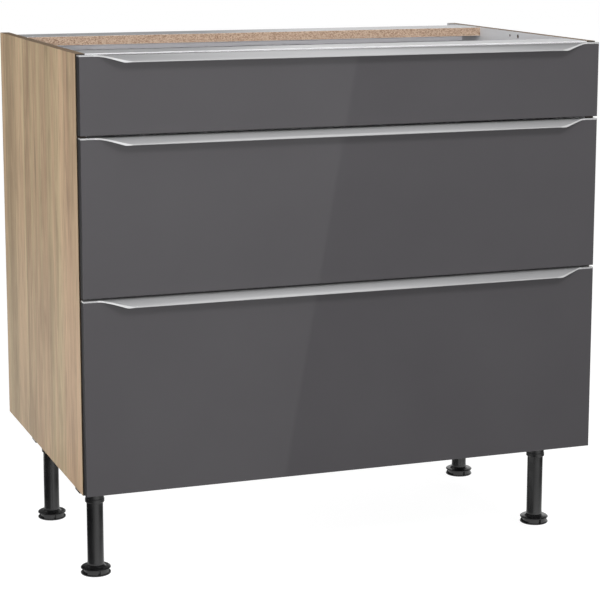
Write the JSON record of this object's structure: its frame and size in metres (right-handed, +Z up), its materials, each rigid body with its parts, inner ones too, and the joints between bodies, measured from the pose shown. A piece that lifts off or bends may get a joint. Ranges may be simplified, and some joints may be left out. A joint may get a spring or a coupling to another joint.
{
  "type": "kitchen base cabinet with drawers",
  "caption": "Frameless kitchen base cabinet on adjustable legs, with full-extension drawers behind glossy fronts with aluminium grip profiles and an open top for a worktop.",
  "frame": {"origin": "on the floor, in the middle of the cabinet's outer box, with the drawers shut and the feet screwed in", "axes": "+X along the width to the right as seen from the front, +Y from the fronts to the wall side, +Z up"},
  "size_m": [0.9, 0.604, 0.87],
  "materials": {
    "wood_decor": "matt wood-decor laminate with an upright grain, on chipboard",
    "white_laminate": "matt white laminate on chipboard",
    "grey_hardboard": "painted hardboard, light grey",
    "beech": "raw beech",
    "zinc": "die-cast zinc",
    "zinc_plated_steel": "zinc-plated sheet steel",
    "grey_enamel": "satin silver-grey powder coat on steel",
    "anthracite_gloss": "high-gloss anthracite laminate on a board",
    "anodised_aluminium": "satin anodised extrusion",
    "black_plastic": "moulded black plastic, slightly glossy"
  },
  "bodies": {
    "carcass": {"side_panel_left": "wood_decor", "side_panel_right": "wood_decor", "bottom_panel": "white_laminate", "back_panel": "grey_hardboard", "front_rail": "white_laminate", "back_rail": "white_laminate", "dowels": "beech", "cam_fittings": "zinc", "cabinet_rail_bottom_left": "zinc_plated_steel", "cabinet_rail_bottom_right": "zinc_plated_steel", "cabinet_rail_middle_left": "zinc_plated_steel", "cabinet_rail_middle_right": "zinc_plated_steel", "cabinet_rail_top_left": "zinc_plated_steel", "cabinet_rail_top_right": "zinc_plated_steel", "leg_socket_front_left": "black_plastic", "leg_tube_front_left": "black_plastic", "leg_socket_front_right": "black_plastic", "leg_tube_front_right": "black_plastic", "leg_socket_rear_left": "black_plastic", "leg_tube_rear_left": "black_plastic", "leg_socket_rear_right": "black_plastic", "leg_tube_rear_right": "black_plastic"},
    "drawer_bottom": {"front_bottom": "anthracite_gloss", "grip_profile_bottom": "anodised_aluminium", "drawer_base_bottom": "white_laminate", "drawer_back_bottom": "white_laminate", "drawer_rails_bottom": "zinc_plated_steel", "front_brackets_bottom": "zinc_plated_steel", "drawer_side_bottom_left": "grey_enamel", "drawer_side_bottom_right": "grey_enamel", "gallery_rails_bottom": "grey_enamel"},
    "runners_bottom": {"middle_rail_bottom_left": "zinc_plated_steel", "middle_rail_bottom_right": "zinc_plated_steel"},
    "drawer_middle": {"front_middle": "anthracite_gloss", "grip_profile_middle": "anodised_aluminium", "drawer_base_middle": "white_laminate", "drawer_back_middle": "white_laminate", "drawer_rails_middle": "zinc_plated_steel", "front_brackets_middle": "zinc_plated_steel", "drawer_side_middle_left": "grey_enamel", "drawer_side_middle_right": "grey_enamel", "gallery_rails_middle": "grey_enamel"},
    "runners_middle": {"middle_rail_middle_left": "zinc_plated_steel", "middle_rail_middle_right": "zinc_plated_steel"},
    "drawer_top": {"front_top": "anthracite_gloss", "grip_profile_top": "anodised_aluminium", "drawer_base_top": "white_laminate", "drawer_back_top": "white_laminate", "drawer_rails_top": "zinc_plated_steel", "front_brackets_top": "zinc_plated_steel", "drawer_side_top_left": "grey_enamel", "drawer_side_top_right": "grey_enamel"},
    "runners_top": {"middle_rail_top_left": "zinc_plated_steel", "middle_rail_top_right": "zinc_plated_steel"},
    "foot_front_left": {"foot_front_left": "black_plastic"},
    "foot_front_right": {"foot_front_right": "black_plastic"},
    "foot_rear_left": {"foot_rear_left": "black_plastic"},
    "foot_rear_right": {"foot_rear_right": "black_plastic"}
  },
  "joints": [
    {"name": "drawer_bottom_slide", "type": "slide", "parent": "carcass", "child": "drawer_bottom", "axis": [0, -1, 0], "range_m": [0, 0.45]},
    {"name": "runners_bottom_slide", "type": "slide", "parent": "carcass", "child": "runners_bottom", "axis": [0, -1, 0], "range_m": [0, 0.225]},
    {"name": "drawer_middle_slide", "type": "slide", "parent": "carcass", "child": "drawer_middle", "axis": [0, -1, 0], "range_m": [0, 0.45]},
    {"name": "runners_middle_slide", "type": "slide", "parent": "carcass", "child": "runners_middle", "axis": [0, -1, 0], "range_m": [0, 0.225]},
    {"name": "drawer_top_slide", "type": "slide", "parent": "carcass", "child": "drawer_top", "axis": [0, -1, 0], "range_m": [0, 0.45]},
    {"name": "runners_top_slide", "type": "slide", "parent": "carcass", "child": "runners_top", "axis": [0, -1, 0], "range_m": [0, 0.225]},
    {"name": "foot_front_left_screw", "type": "slide", "parent": "carcass", "child": "foot_front_left", "axis": [0, 0, -1], "range_m": [0, 0.025]},
    {"name": "foot_front_right_screw", "type": "slide", "parent": "carcass", "child": "foot_front_right", "axis": [0, 0, -1], "range_m": [0, 0.025]},
    {"name": "foot_rear_left_screw", "type": "slide", "parent": "carcass", "child": "foot_rear_left", "axis": [0, 0, -1], "range_m": [0, 0.025]},
    {"name": "foot_rear_right_screw", "type": "slide", "parent": "carcass", "child": "foot_rear_right", "axis": [0, 0, -1], "range_m": [0, 0.025]}
  ],
  "couplings": [
    {"joint": "runners_bottom_slide", "follows": "drawer_bottom_slide", "ratio": 0.5},
    {"joint": "runners_middle_slide", "follows": "drawer_middle_slide", "ratio": 0.5},
    {"joint": "runners_top_slide", "follows": "drawer_top_slide", "ratio": 0.5}
  ]
}
